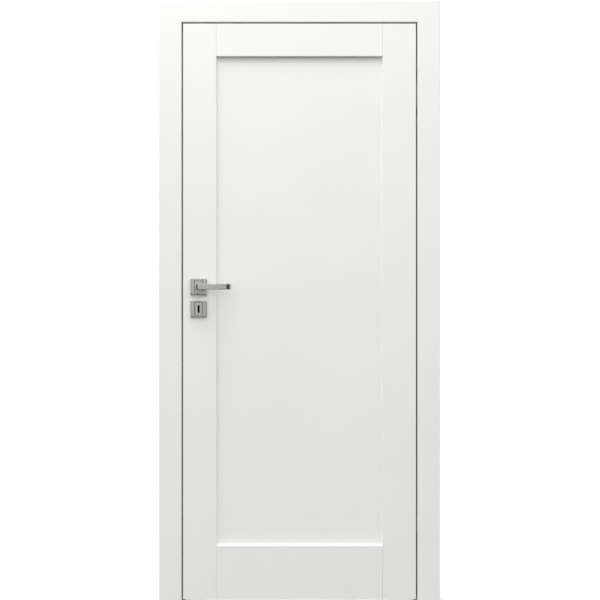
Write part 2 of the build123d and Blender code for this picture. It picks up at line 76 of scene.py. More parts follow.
bpy.ops.object.select_all(action="DESELECT")
bpy.ops.object.camera_add(
    location=(EYE_X, FACE_Y - EYE_DISTANCE, EYE_Z), rotation=(QUARTER_TURN, 0, 0)
)
camera = bpy.context.object
camera.name = "door_camera"
camera.data.lens = camera.data.sensor_width * EYE_DISTANCE / SEEN_WIDTH
camera.data.clip_end = SIGHT_END
bpy.context.scene.camera = camera
print("lens", round(camera.data.lens, 1), "mm")

# %% [markdown]
# ## Light of a bright hall
#
# Light on a white door comes mostly from above and in front, and very little comes up from below. That is
# why the sloped edge over the panel is dark and the one under it is bright. One lamp alone would give hard
# shadows, and an even white sky would give none. So the sky is bright above the level of the eye and dim
# below it, a broad lamp overhead gives the shadows a direction, and what lies behind the door is plain
# white.

# %% Sky
def add_node(tree, kind, **sockets):
    """A node with these values on its sockets."""
    node = tree.nodes.new(kind)
    for socket, value in sockets.items():
        node.inputs[socket.replace("_", " ")].default_value = value
    return node


def gradient(tree, source, steps):
    """A grey gradient; steps are pairs of place and tone, where 0.5 is level or straight ahead."""
    place = tree.nodes.new("ShaderNodeMapRange")
    place.inputs["From Min"].default_value = -1.0
    tree.links.new(source, place.inputs["Value"])
    tones = tree.nodes.new("ShaderNodeValToRGB")
    ends = (tones.color_ramp.elements[0], tones.color_ramp.elements[1])
    for end, (position, tone) in zip(ends, (steps[0], steps[-1])):
        end.position = position
        end.color = (tone, tone, tone, 1)
    for position, tone in steps[1:-1]:
        tones.color_ramp.elements.new(position).color = (tone, tone, tone, 1)
    tree.links.new(place.outputs["Result"], tones.inputs["Fac"])
    return tones.outputs["Color"]


# From straight down to straight up, and from the left to the right.
HEIGHTS = ((0.0, 0.07), (0.46, 0.15), (0.50, 0.85), (0.55, 1.5), (0.86, 1.8), (0.93, 1.0), (1.0, 0.9))
SIDES = ((0.0, 1.0), (1.0, 0.85))

sky = bpy.data.worlds.new("hall_light")
sky.use_nodes = True
bpy.context.scene.world = sky
tree = sky.node_tree
tree.nodes.clear()
direction = tree.nodes.new("ShaderNodeTexCoord")
axes = tree.nodes.new("ShaderNodeSeparateXYZ")
tree.links.new(direction.outputs["Generated"], axes.inputs["Vector"])
upward = gradient(tree, axes.outputs["Z"], HEIGHTS)
sideways = gradient(tree, axes.outputs["X"], SIDES)
together = tree.nodes.new("ShaderNodeMix")
together.data_type = "RGBA"
together.blend_type = "MULTIPLY"
together.inputs["Factor"].default_value = 1.0
# Several sockets of this node share one name, so those for colour are found by their number.
COLOUR_A, COLOUR_B, COLOUR_OUT = 6, 7, 2
tree.links.new(upward, together.inputs[COLOUR_A])
tree.links.new(sideways, together.inputs[COLOUR_B])
print("sky from", len(tree.nodes), "nodes so far")

# %% White behind the door, for the eye alone
JUST_OVER_WHITE = 1.1
# Both shaders of the mixing node share one name too.
FOR_THE_REST, FOR_THE_EYE = 1, 2

glow = add_node(tree, "ShaderNodeBackground", Strength=1.0)
plain = add_node(tree, "ShaderNodeBackground", Color=(1, 1, 1, 1), Strength=JUST_OVER_WHITE)
to_eye = tree.nodes.new("ShaderNodeLightPath")
either = tree.nodes.new("ShaderNodeMixShader")
out = tree.nodes.new("ShaderNodeOutputWorld")
tree.links.new(together.outputs[COLOUR_OUT], glow.inputs["Color"])
tree.links.new(to_eye.outputs["Is Camera Ray"], either.inputs["Fac"])
tree.links.new(glow.outputs["Background"], either.inputs[FOR_THE_REST])
tree.links.new(plain.outputs["Background"], either.inputs[FOR_THE_EYE])
tree.links.new(either.outputs["Shader"], out.inputs["Surface"])
bpy.context.scene.view_settings.view_transform = "Standard"
print("sky nodes", len(tree.nodes))

# %% Lamp
def add_lamp(name, place, target, width, height, power):
    """A lamp like a bright sheet that faces its target and isn't seen in polished things."""
    bpy.ops.object.light_add(type="AREA", location=place)
    lamp = bpy.context.object
    lamp.name = name
    lamp.data.shape = "RECTANGLE"
    lamp.data.size = width
    lamp.data.size_y = height
    lamp.data.energy = power
    aim = Vector(target) - Vector(place)
    lamp.rotation_euler = aim.to_track_quat("-Z", "Y").to_euler()
    lamp.visible_glossy = False
    return lamp


ceiling_lamp = add_lamp(
    "ceiling_lamp", place=(-1.0, -1.2, 4.3), target=(-0.45, -0.8, 1.0), width=2.6, height=1.6, power=76
)
print(ceiling_lamp.name, ceiling_lamp.data.energy, "W")

# %% [markdown]
# ## The floor, and black cloths for the metal
#
# The floor only shows where the door stands, so it is a plain pale disc. A white floor would throw light up
# under the panel's top edge and brighten the bottom of the door, so it is seen by the eye and takes
# shadows, but gives no light back. Polished metal needs something dark to reflect, or it looks like grey
# plastic. A photographer hangs black cloths beside the object for that, and so does this scene. The wide
# one on the right darkens the lever's return, and the narrower one on the left darkens its elbow. All three
# are stage, not door.

# %% Patterns read in object coordinates
EVENLY = (1, 1, 1)
# A noise rarely leaves this range, so a pattern is spread over it.
NOISE_LOW, NOISE_HIGH = 0.3, 0.7


def stretched(tree, scale, name):
    """Object coordinates, scaled so that a pattern runs along one direction."""
    where = tree.nodes.new("ShaderNodeTexCoord")
    turn = tree.nodes.new("ShaderNodeMapping")
    turn.label = name
    turn.inputs["Scale"].default_value = scale
    tree.links.new(where.outputs["Object"], turn.inputs["Vector"])
    return turn.outputs["Vector"]


def blend_of(tree, fac, dark, light):
    """A colour that goes from dark to light with fac."""
    ramp = tree.nodes.new("ShaderNodeValToRGB")
    ramp.color_ramp.elements[0].position = NOISE_LOW
    ramp.color_ramp.elements[0].color = (*dark, 1)
    ramp.color_ramp.elements[1].position = NOISE_HIGH
    ramp.color_ramp.elements[1].color = (*light, 1)
    tree.links.new(fac, ramp.inputs["Fac"])
    return ramp.outputs["Color"]


def new_finish(name):
    """A material, with its nodes and the node that shades it."""
    finish = bpy.data.materials.new(name)
    finish.use_nodes = True
    return finish, finish.node_tree, finish.node_tree.nodes["Principled BSDF"]


def stage_finish(name, dark, light, roughness):
    """A dull finish with soft clouds in it, for what stands round the door."""
    finish, tree, shader = new_finish(name)
    cloud = add_node(tree, "ShaderNodeTexNoise", Scale=3.0, Detail=3.0)
    tree.links.new(stretched(tree, EVENLY, "cloud"), cloud.inputs["Vector"])
    tree.links.new(blend_of(tree, cloud.outputs["Fac"], dark, light), shader.inputs["Base Color"])
    shader.inputs["Roughness"].default_value = roughness
    return finish


print("pattern helpers ready")

# %% Floor and cloths
FLOOR_RADIUS = 3.0
FLOOR_SINK = 0.0005
CLOTH_HEIGHT = 3.4

bpy.ops.object.select_all(action="DESELECT")
bpy.ops.mesh.primitive_circle_add(
    vertices=96, radius=FLOOR_RADIUS, fill_type="NGON", location=(EYE_X, 0, -FLOOR_SINK)
)
floor = bpy.context.object
floor.name = "floor"
floor_finish = stage_finish("floor_paint", (0.84, 0.84, 0.84), (0.88, 0.88, 0.88), roughness=0.8)
floor.data.materials.append(floor_finish)
floor.visible_diffuse = False
floor.visible_glossy = False

cloth_finish = stage_finish(
    "black_cloth", (0.015, 0.015, 0.015), (0.025, 0.025, 0.025), roughness=0.9
)


def hang_cloth(name, place, turn, width):
    """A hanging cloth that only polished things can see."""
    bpy.ops.object.select_all(action="DESELECT")
    bpy.ops.mesh.primitive_plane_add(
        size=1.0, location=place, rotation=(QUARTER_TURN, 0, math.radians(turn))
    )
    cloth = bpy.context.object
    cloth.name = name
    cloth.scale = (width, CLOTH_HEIGHT, 1)
    cloth.data.materials.append(cloth_finish)
    cloth.visible_camera = False
    cloth.visible_diffuse = False
    cloth.visible_shadow = False
    return cloth


right_cloth = hang_cloth("right_cloth", (1.4, -2.0, 1.2), turn=50, width=4.4)
left_cloth = hang_cloth("left_cloth", (-2.77, -1.44, 1.2), turn=-55, width=2.6)
print("stage:", floor.name, right_cloth.name, left_cloth.name)

# %% [markdown]
# ## White lacquer
#
# Sprayed lacquer on smooth board is never a flat colour. It has a slight waviness like orange skin, a sheen
# that changes a little from place to place, and a faint trace of sanding along each board. A picture of
# paint would repeat, so all three come from noise that is read in object coordinates. Upright and level
# boards get their own version, because each is sanded along its length.

# %% Noise that runs along a board
def range_of(tree, fac, low, high):
    """A number that goes from low to high with fac."""
    span = tree.nodes.new("ShaderNodeMapRange")
    span.inputs["From Min"].default_value = NOISE_LOW
    span.inputs["From Max"].default_value = NOISE_HIGH
    span.inputs["To Min"].default_value = low
    span.inputs["To Max"].default_value = high
    tree.links.new(fac, span.inputs["Value"])
    return span.outputs["Result"]


def raise_surface(tree, height, depth, strength, under=None):
    """A bump from a height pattern, on top of another bump if there is one."""
    bump = tree.nodes.new("ShaderNodeBump")
    bump.inputs["Strength"].default_value = strength
    bump.inputs["Distance"].default_value = depth
    tree.links.new(height, bump.inputs["Height"])
    if under:
        tree.links.new(under, bump.inputs["Normal"])
    return bump.outputs["Normal"]


print("bump helpers ready")

# %% Lacquer for upright and for level boards
def white_lacquer(name, along):
    """Lacquer whose sanding marks run along the direction with the smallest scale."""
    finish, tree, shader = new_finish(name)
    mist = add_node(tree, "ShaderNodeTexNoise", Scale=2.5, Detail=4.0)
    tree.links.new(stretched(tree, EVENLY, "tint"), mist.inputs["Vector"])
    sanding = add_node(tree, "ShaderNodeTexNoise", Scale=160.0, Detail=3.0)
    tree.links.new(stretched(tree, along, "sanding"), sanding.inputs["Vector"])
    skin = add_node(tree, "ShaderNodeTexNoise", Scale=420.0, Detail=2.0)
    tree.links.new(stretched(tree, EVENLY, "skin"), skin.inputs["Vector"])
    tint = blend_of(tree, mist.outputs["Fac"], (0.845, 0.845, 0.828), (0.870, 0.870, 0.855))
    tree.links.new(tint, shader.inputs["Base Color"])
    sheen = range_of(tree, mist.outputs["Fac"], low=0.36, high=0.44)
    tree.links.new(sheen, shader.inputs["Roughness"])
    grain = raise_surface(tree, sanding.outputs["Fac"], depth=0.0001, strength=0.10)
    relief = raise_surface(tree, skin.outputs["Fac"], depth=0.0001, strength=0.12, under=grain)
    tree.links.new(relief, shader.inputs["Normal"])
    shader.inputs["IOR"].default_value = 1.5
    return finish


ALONG_THE_BOARD = 0.04
lacquer_upright = white_lacquer("lacquer_upright", (1, 1, ALONG_THE_BOARD))
lacquer_level = white_lacquer("lacquer_level", (ALONG_THE_BOARD, 1, 1))
print("lacquers", lacquer_upright.name, lacquer_level.name)

# %% [markdown]
# ## Metals and rubber
#
# A metal shows what stands round it, so its own colour is only half of the look, and the other half is how
# much its surface blurs. The handles are nickel with a fine satin brush. The forend, the strike and the
# hinge arms are brushed steel. The lock case is zinc coated sheet with its soft spangle, and the hinge
# bodies are cast alloy with a fine even grit. The seals are dull rubber with a trace of dust.

# %% Metals
BRUSH_DEPTH = 0.00004


def brushed_metal(name, dark, light, strokes, blur):
    """Metal whose strokes run along the direction with the smallest scale."""
    finish, tree, shader = new_finish(name)
    brush = add_node(tree, "ShaderNodeTexNoise", Scale=900.0, Detail=4.0)
    tree.links.new(stretched(tree, strokes, "strokes"), brush.inputs["Vector"])
    cloud = add_node(tree, "ShaderNodeTexNoise", Scale=24.0, Detail=2.0)
    tree.links.new(stretched(tree, EVENLY, "cloud"), cloud.inputs["Vector"])
    tree.links.new(blend_of(tree, brush.outputs["Fac"], dark, light), shader.inputs["Base Color"])
    tree.links.new(range_of(tree, cloud.outputs["Fac"], *blur), shader.inputs["Roughness"])
    relief = raise_surface(tree, brush.outputs["Fac"], depth=BRUSH_DEPTH, strength=0.25)
    tree.links.new(relief, shader.inputs["Normal"])
    shader.inputs["Metallic"].default_value = 1.0
    return finish


satin_nickel = brushed_metal(
    "satin_nickel", (0.52, 0.515, 0.505), (0.58, 0.575, 0.565), strokes=(0.03, 1, 1), blur=(0.24, 0.30)
)
plate_steel = brushed_metal(
    "plate_steel", (0.56, 0.56, 0.55), (0.66, 0.66, 0.65), strokes=(1, 1, 0.02), blur=(0.28, 0.36)
)
arm_steel = brushed_metal(
    "hinge_arm_steel", (0.48, 0.48, 0.48), (0.58, 0.58, 0.58), strokes=(1, 1, 0.05), blur=(0.32, 0.40)
)
screw_zinc = brushed_metal(
    "screw_zinc", (0.46, 0.46, 0.45), (0.56, 0.56, 0.54), strokes=EVENLY, blur=(0.30, 0.42)
)
# Near black: partly blackened steel, partly painted shade, so the keyhole looks as dark as the shade inside
# a lock.
painted_shade_black_steel = brushed_metal(
    "painted_shade_black_steel", (0.010, 0.010, 0.010), (0.025, 0.025, 0.025), strokes=EVENLY, blur=(0.55, 0.70)
)
print("brushed metals made")

# %% Coated sheet, cast alloy and rubber
def grainy_finish(name, dark, light, grain, blur, metal, depth):
    """A finish with pale cells and a fine grit, as metal or as rubber."""
    finish, tree, shader = new_finish(name)
    spangle = add_node(tree, "ShaderNodeTexVoronoi", Scale=grain)
    tree.links.new(stretched(tree, EVENLY, "spangle"), spangle.inputs["Vector"])
    grit = add_node(tree, "ShaderNodeTexNoise", Scale=grain * 3.0, Detail=3.0)
    tree.links.new(stretched(tree, EVENLY, "grit"), grit.inputs["Vector"])
    tree.links.new(blend_of(tree, spangle.outputs["Distance"], light, dark), shader.inputs["Base Color"])
    tree.links.new(range_of(tree, grit.outputs["Fac"], *blur), shader.inputs["Roughness"])
    relief = raise_surface(tree, grit.outputs["Fac"], depth, strength=0.3)
    tree.links.new(relief, shader.inputs["Normal"])
    shader.inputs["Metallic"].default_value = metal
    return finish


lock_zinc = grainy_finish(
    "lock_zinc", (0.40, 0.41, 0.42), (0.50, 0.51, 0.52),
    grain=220.0, blur=(0.38, 0.55), metal=1.0, depth=0.00003,
)
hinge_alloy = grainy_finish(
    "hinge_alloy", (0.60, 0.60, 0.60), (0.68, 0.68, 0.68),
    grain=700.0, blur=(0.34, 0.46), metal=1.0, depth=0.00003,
)
seal_rubber = grainy_finish(
    "seal_rubber", (0.56, 0.56, 0.55), (0.64, 0.64, 0.63),
    grain=500.0, blur=(0.70, 0.85), metal=0.0, depth=0.00005,
)
print("coated finishes made")

# %% Dress every solid
FINISH_OF_SLOT = {
    "plate_steel": plate_steel,
    "lock_steel": lock_zinc,
    "satin_nickel": satin_nickel,
    "hinge_alloy": hinge_alloy,
    "hinge_arm_steel": arm_steel,
    "seal_rubber": seal_rubber,
}


def is_level(node):
    """Whether a board lies level, which is where it is wider than it is high."""
    low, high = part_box(node)
    return high.x - low.x > high.z - low.z


def dress(piece, finish):
    """Puts one finish on the whole piece."""
    if not piece.data.materials:
        piece.data.materials.append(finish)
    for place in range(len(piece.data.materials)):
        piece.data.materials[place] = finish


for subpart in frame["record"]["subparts"]:
    node = subpart["node"]
    if subpart["material_slot"] == "white_lacquer":
        dress(nodes[node], lacquer_level if is_level(node) else lacquer_upright)
    else:
        dress(nodes[node], FINISH_OF_SLOT[subpart["material_slot"]])

# %% [markdown]
# ## Working by hand, in code
#
# In the editor a person clicks a face, moves it, and looks. In a script the same operators do the work, but
# nothing is clicked, so each face or edge is chosen by a rule on where it lies. Everything is deselected
# before each choice, because an operator acts on all that is selected.

# %% Choosing by place
SAME_POINT = 0.000005
SAME_PLANE = 0.00002
SHARP = 40.0


def pick(piece):
    """Leaves this piece alone selected and active."""
    bpy.ops.object.select_all(action="DESELECT")
    piece.select_set(True)
    bpy.context.view_layer.objects.active = piece


def start(name):
    """Names the fresh primitive and puts its place into its mesh."""
    piece = bpy.context.object
    piece.name = name
    piece.data.name = name
    bpy.ops.object.transform_apply(location=True, rotation=True, scale=True)
    return piece


def edit(piece, mode):
    """Opens the piece for editing with nothing chosen."""
    pick(piece)
    bpy.ops.object.mode_set(mode="EDIT")
    bpy.ops.mesh.select_mode(type=mode)
    bpy.ops.mesh.select_all(action="DESELECT")


def choose(piece, kind, rule):
    """Selects the vertices, edges or faces that the rule accepts, and says how many."""
    mesh = bmesh.from_edit_mesh(piece.data)
    bpy.ops.mesh.select_all(action="DESELECT")
    chosen = 0
    for element in getattr(mesh, kind):
        if rule(element):
            element.select_set(True)
            chosen += 1
    mesh.select_flush_mode()
    bmesh.update_edit_mesh(piece.data)
    return chosen


def close_edit():
    """Merges what lies on one point, turns the faces outwards and leaves the editing."""
    bpy.ops.mesh.select_all(action="SELECT")
    bpy.ops.mesh.remove_doubles(threshold=SAME_POINT)
    bpy.ops.mesh.normals_make_consistent(inside=False)
    bpy.ops.object.mode_set(mode="OBJECT")


print("tools for choosing ready")

# %% Rounding, cutting and fusing
def round_edges(piece, width, segments=2, angle=SHARP):
    """Rounds every edge that is sharper than the angle."""
    pick(piece)
    bevel = piece.modifiers.new("round", "BEVEL")
    bevel.width = width
    bevel.segments = segments
    bevel.limit_method = "ANGLE"
    bevel.angle_limit = math.radians(angle)
    bevel.use_clamp_overlap = False
    bpy.ops.object.modifier_apply(modifier=bevel.name)


def shade_evenly(piece):
    """Smooths the shading, with the wide faces kept flat and only the narrow ones bending."""
    pick(piece)
    bpy.ops.object.shade_smooth_by_angle(angle=math.radians(SHARP))
    even = piece.modifiers.new("even", "WEIGHTED_NORMAL")
    even.keep_sharp = True
    bpy.ops.object.modifier_apply(modifier=even.name)


def combine(piece, tool, operation):
    """Works the tool into the piece and then throws the tool away."""
    pick(piece)
    step = piece.modifiers.new("combine", "BOOLEAN")
    step.operation = operation
    step.solver = "EXACT"
    step.object = tool
    bpy.ops.object.modifier_apply(modifier=step.name)
    bpy.data.objects.remove(tool)


def cut_with(piece, cutter):
    """Takes the cutter out of the piece."""
    combine(piece, cutter, "DIFFERENCE")


def fuse_with(piece, addition):
    """Makes the piece and the addition one closed solid."""
    combine(piece, addition, "UNION")


print("tools for shaping ready")

# %% Copying and handing over
def copy_of(piece, name):
    """A copy with its own mesh."""
    twin = piece.copy()
    twin.data = piece.data.copy()
    twin.name = name
    twin.data.name = name
    bpy.context.scene.collection.objects.link(twin)
    return twin


def hand_over(piece, finish, slot, body, *stands_for):
    """Gives the piece its finish and its body, and says which solids it stands for."""
    shade_evenly(piece)
    dress(piece, finish)
    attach(piece, body)
    if stands_for:
        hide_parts(*stands_for)
    return piece


print("tools for finishing ready")

# %% [markdown]
# ## The lever handle
#
# A lever of this kind is a flat bar that leaves a round neck, turns along the door and turns back to it at
# its end, so that no sleeve catches on it. It could be a swept curve, but its bends would need points of
# their own. Here one outline is carried along: it starts as the bar's rounded section, is spun through a
# tight elbow, spun again on a very large circle, because the bar bows a little towards the hand, and spun
# through the return. The neck is turned from round stock that runs through to the back of the bar, so the
# two are fused.

# %% Sizes of the lever, read from its solid
lever_low, lever_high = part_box("front_lever")
rose_low, rose_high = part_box("front_lever_rose")
SPINDLE_X = (rose_low.x + rose_high.x) / 2
SPINDLE_Z = (rose_low.z + rose_high.z) / 2
NECK_RADIUS = 0.0092
NECK_START = lever_high.y
BAR_THICK = 0.010
BAR_HIGH = lever_high.z - lever_low.z
BAR_EDGE = 0.0013
ELBOW_RADIUS = 0.0055
RETURN_RADIUS = 0.013
TIP_CLEAR = 0.032
TIP_Y = FACE_Y - TIP_CLEAR
BOW = math.radians(6)
POINTS_A_CORNER = 6
BEND_STEPS = 14
BOW_STEPS = 16
LEVER_ROUND = 0.0009
print("lever", round(lever_high.x - SPINDLE_X, 4), "long,", round(BAR_HIGH, 4), "high")

# %% Where the three bends have their centres
elbow_x = lever_low.x + BAR_THICK / 2
half_bow = BOW / 2
straight_run = lever_high.x - BAR_THICK / 2 - elbow_x
bends = (ELBOW_RADIUS + RETURN_RADIUS) * (1 - math.sin(half_bow))
bow_radius = (straight_run - bends) / (2 * math.sin(half_bow))
bow_depth = bow_radius * (1 - math.cos(half_bow))
bar_start_y = lever_low.y + BAR_THICK / 2 + ELBOW_RADIUS * math.cos(half_bow) + bow_depth
elbow_centre = Vector((elbow_x + ELBOW_RADIUS, bar_start_y, SPINDLE_Z))
out_of_elbow = Vector((math.sin(half_bow), math.cos(half_bow), 0))
bow_centre = elbow_centre + (bow_radius - ELBOW_RADIUS) * out_of_elbow
into_return = Vector((-math.sin(half_bow), math.cos(half_bow), 0))
return_centre = bow_centre - (bow_radius - RETURN_RADIUS) * into_return
print("the bar bows on a radius of", round(bow_radius, 3), "m")

# %% Outline of the bar at the start of the elbow
bpy.ops.object.select_all(action="DESELECT")
bpy.ops.mesh.primitive_plane_add(
    size=1.0, location=(elbow_x, bar_start_y, SPINDLE_Z), rotation=(QUARTER_TURN, 0, 0)
)
bpy.context.object.scale = (BAR_THICK, BAR_HIGH, 1)
front_lever = start("front_lever_bar")
edit(front_lever, "VERT")
bpy.ops.mesh.select_all(action="SELECT")
bpy.ops.mesh.bevel(offset=BAR_EDGE, segments=POINTS_A_CORNER - 1, profile=0.5, affect="VERTICES")
bpy.ops.mesh.select_all(action="SELECT")
bpy.ops.mesh.delete(type="ONLY_FACE")
bpy.ops.mesh.select_all(action="SELECT")
print("points of the outline", len(bmesh.from_edit_mesh(front_lever.data).verts))

# %% Elbow, bowed bar, return and tip
def reach(piece):
    """How far the mesh that is being edited goes to the right."""
    return max(v.co.x for v in bmesh.from_edit_mesh(piece.data).verts)


SPIN_AXIS = (0, 0, -1)
bend = QUARTER_TURN - half_bow
bpy.ops.mesh.spin(steps=BEND_STEPS, angle=bend, center=elbow_centre, axis=SPIN_AXIS)
bpy.ops.mesh.spin(steps=BOW_STEPS, angle=BOW, center=bow_centre, axis=SPIN_AXIS)
bpy.ops.mesh.spin(steps=BEND_STEPS, angle=bend, center=return_centre, axis=SPIN_AXIS)
print("the return reaches x", round(reach(front_lever), 4), "of", round(lever_high.x, 4))
bpy.ops.mesh.extrude_edges_move(TRANSFORM_OT_translate={"value": (0, TIP_Y - return_centre.y, 0)})
bpy.ops.mesh.edge_face_add()
close_edit()
print("bar of", len(front_lever.data.polygons), "faces")

# %% Blocks and rods, as starts and as cutters
def block(name, low, high):
    """A box between two corners, as a start or as a cutter."""
    low, high = Vector(low), Vector(high)
    bpy.ops.object.select_all(action="DESELECT")
    bpy.ops.mesh.primitive_cube_add(size=1.0, location=(low + high) / 2)
    bpy.context.object.scale = high - low
    return start(name)


def rod(name, middle, radius, length, turn, points):
    """A round bar about its middle, as a start or as a cutter."""
    bpy.ops.object.select_all(action="DESELECT")
    bpy.ops.mesh.primitive_cylinder_add(
        vertices=points, radius=radius, depth=length, location=middle, rotation=turn
    )
    return start(name)


ALONG_Y = (QUARTER_TURN, 0, 0)
UPRIGHT = (0, 0, 0)
print("blocks and rods ready")

# %% Round neck, run through to the back of the bar
def on_plane(element, y):
    """Whether all the corners of a face or an edge lie at this depth."""
    return all(abs(v.co.y - y) < SAME_PLANE for v in element.verts)


def open_ring(edge, y):
    """Whether the edge borders an opening at this depth."""
    return on_plane(edge, y) and not edge.is_manifold


# The bow sets the back of the bar in by more than this where the neck meets it.
LEAST_BOW = 0.0006

round_edges(front_lever, LEVER_ROUND, segments=3)
edit(front_lever, "EDGE")
ring = choose(front_lever, "edges", lambda e: open_ring(e, bar_start_y))
bpy.ops.mesh.edge_face_add()
close_edit()
neck_end = lever_low.y + BAR_THICK + LEAST_BOW
neck_middle = (SPINDLE_X, (NECK_START + neck_end) / 2, SPINDLE_Z)
fuse_with(
    front_lever,
    rod("neck", neck_middle, NECK_RADIUS, NECK_START - neck_end, ALONG_Y, points=96),
)
print("closed ring of", ring, "edges, lever of", len(front_lever.data.polygons), "faces")

# %% Square socket for the spindle
OVERRUN = 0.002
spindle_low, spindle_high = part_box("spindle")
cut_with(
    front_lever,
    block("socket", spindle_low, (spindle_high.x, NECK_START + OVERRUN, spindle_high.z)),
)
print("lever with its socket:", len(front_lever.data.polygons), "faces")

# %% [markdown]
# ## What holds the lever on its spindle
#
# A small headless screw under the neck clamps the lever to the square spindle. Nobody sees it from the
# front, but whoever fits the door looks for it first. It is a short rod with a six sided socket, sunk in
# its hole.

# %% Clamping screw under the neck
SCREW_OUT = 0.016
SCREW_RADIUS = 0.0025
SCREW_LENGTH = 0.004
SCREW_SUNK = 0.0008
HOLE_PLAY = 0.0001
HOLE_LENGTH = 0.006
HOLE_OVERRUN = 0.001
HEX_RADIUS = 0.0014
HEX_LENGTH = 0.003
HEX_OVERRUN = 0.0001
SCREW_ROUND = 0.00015
VERY_SHARP = 50.0
neck_bottom = SPINDLE_Z - NECK_RADIUS


def over_neck_bottom(height):
    """A point on the axis of the screw, at a height over the underside of the neck."""
    return (SPINDLE_X, FACE_Y - SCREW_OUT, neck_bottom + height)


hole_middle = over_neck_bottom(HOLE_LENGTH / 2 - HOLE_OVERRUN)
screw_middle = over_neck_bottom(SCREW_LENGTH / 2 + SCREW_SUNK)
hex_middle = over_neck_bottom(HEX_LENGTH / 2 - HEX_OVERRUN)
cut_with(
    front_lever,
    rod("screw_hole", hole_middle, SCREW_RADIUS + HOLE_PLAY, HOLE_LENGTH, UPRIGHT, points=32),
)
front_clamp = rod("front_clamp_screw", screw_middle, SCREW_RADIUS, SCREW_LENGTH, UPRIGHT, points=32)
cut_with(front_clamp, rod("hex_socket", hex_middle, HEX_RADIUS, HEX_LENGTH, UPRIGHT, points=6))
round_edges(front_clamp, SCREW_ROUND, angle=VERY_SHARP)
print("clamping screw", len(front_clamp.data.polygons), "faces")

# %% The same lever on the other side of the leaf
MIDDLE_Y = (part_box("lock_stile")[0].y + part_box("lock_stile")[1].y) / 2


def other_side(piece, name):
    """A mirrored copy about the middle of the leaf's thickness, turned right side out."""
    twin = copy_of(piece, name)
    edit(twin, "FACE")
    bpy.ops.mesh.select_all(action="SELECT")
    bpy.ops.transform.mirror(
        constraint_axis=(False, True, False), center_override=(0, MIDDLE_Y, 0), orient_type="GLOBAL"
    )
    close_edit()
    low = min(v.co.y for v in twin.data.vertices)
    high = max(v.co.y for v in twin.data.vertices)
    print(name, "lies between y", round(low, 4), "and", round(high, 4))
    return twin


rear_lever = other_side(front_lever, "rear_lever_bar")
rear_clamp = other_side(front_clamp, "rear_clamp_screw")
hand_over(front_lever, satin_nickel, "satin_nickel", "levers", "front_lever")
hand_over(rear_lever, satin_nickel, "satin_nickel", "levers", "rear_lever")
hand_over(front_clamp, screw_zinc, "lock_steel", "levers")
hand_over(rear_clamp, screw_zinc, "lock_steel", "levers")

# %% [markdown]
# ## Square roses
#
# Each rose is a square block with a broad bevel, and a smaller plate lies in a shallow recess in its middle.
# The sloped rim of that recess and the fine groove round the plate draw the thin upright lines that the eye
# sees. A bevel modifier on a cube would bevel all twelve edges alike. So only the four front edges are
# chosen and bevelled, the front face is inset and narrowed to the outline of the rim, inset again with some
# depth for the slope, and pushed in. A second, very fine bevel then rounds every edge that is still sharp,
# because a real edge of metal is never perfectly sharp, and catches a little light.

# %% One rose
ROSE_BEVEL = 0.0025
RECESS_DEPTH = 0.003
RIM = 0.001
PLATE_PLAY = 0.0005


def square_rose(node, seat_low, seat_high):
    """A bevelled square with a recess between two corners of its front face."""
    low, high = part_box(node)
    rose = block(node + "_body", low, high)
    centre = (low + high) / 2
    edit(rose, "EDGE")
    choose(rose, "edges", lambda e: on_plane(e, low.y))
    bpy.ops.mesh.bevel(offset=ROSE_BEVEL, segments=1, affect="EDGES")
    bpy.ops.mesh.select_mode(type="FACE")
    choose(rose, "faces", lambda f: on_plane(f, low.y))
    rim_wide = seat_high.x - seat_low.x + 2 * RIM
    rim_high = seat_high.z - seat_low.z + 2 * RIM
    bpy.ops.mesh.inset(thickness=(high.z - low.z - 2 * ROSE_BEVEL - rim_high) / 2)
    bpy.ops.transform.resize(value=(rim_wide / rim_high, 1, 1), center_override=centre)
    bpy.ops.mesh.inset(thickness=RIM, depth=-RIM)
    bpy.ops.mesh.extrude_region_move(TRANSFORM_OT_translate={"value": (0, RECESS_DEPTH - RIM, 0)})
    close_edit()
    return rose


def seat_of(plate):
    """The recess round a plate, with the play that the fitter needs."""
    play = Vector((PLATE_PLAY, 0, PLATE_PLAY))
    low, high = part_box(plate)
    return low - play, high + play


lever_rose = square_rose("front_lever_rose", *seat_of("front_lever_plate"))
key_rose = square_rose("front_key_rose", *seat_of("front_key_plate"))
print("roses", len(lever_rose.data.polygons), "and", len(key_rose.data.polygons), "faces before cutting")

# %% The small plates that lie in the roses
PLATE_BEVEL = 0.0004


def small_plate(node):
    """A thin plate with its four front edges bevelled."""
    low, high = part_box(node)
    plate = block(node + "_body", low, high)
    edit(plate, "EDGE")
    choose(plate, "edges", lambda e: on_plane(e, low.y))
    bpy.ops.mesh.bevel(offset=PLATE_BEVEL, segments=1, affect="EDGES")
    close_edit()
    return plate


lever_plate = small_plate("front_lever_plate")
key_plate = small_plate("front_key_plate")
print("plates", len(lever_plate.data.polygons), "faces each before cutting")

# %% Holes for the neck and for the key
KEY_EYE = 0.00425
KEY_SLOT = 0.0035
KEY_HALF = 0.01375
key_low, key_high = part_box("front_key_plate")
KEY_Z = (key_low.z + key_high.z) / 2
EYE_CENTRE_Z = KEY_Z + KEY_HALF - KEY_EYE
FOOT_CENTRE_Z = KEY_Z - KEY_HALF + KEY_SLOT
NECK_PLAY = 0.0001
THROUGH = 0.03
ROSE_ROUND = 0.00035
PLATE_ROUND = 0.0002


def through_hole(name, z, radius, points):
    """A round cutter that goes right through a rose at this height."""
    return rod(name, (SPINDLE_X, FACE_Y, z), radius, THROUGH, ALONG_Y, points)


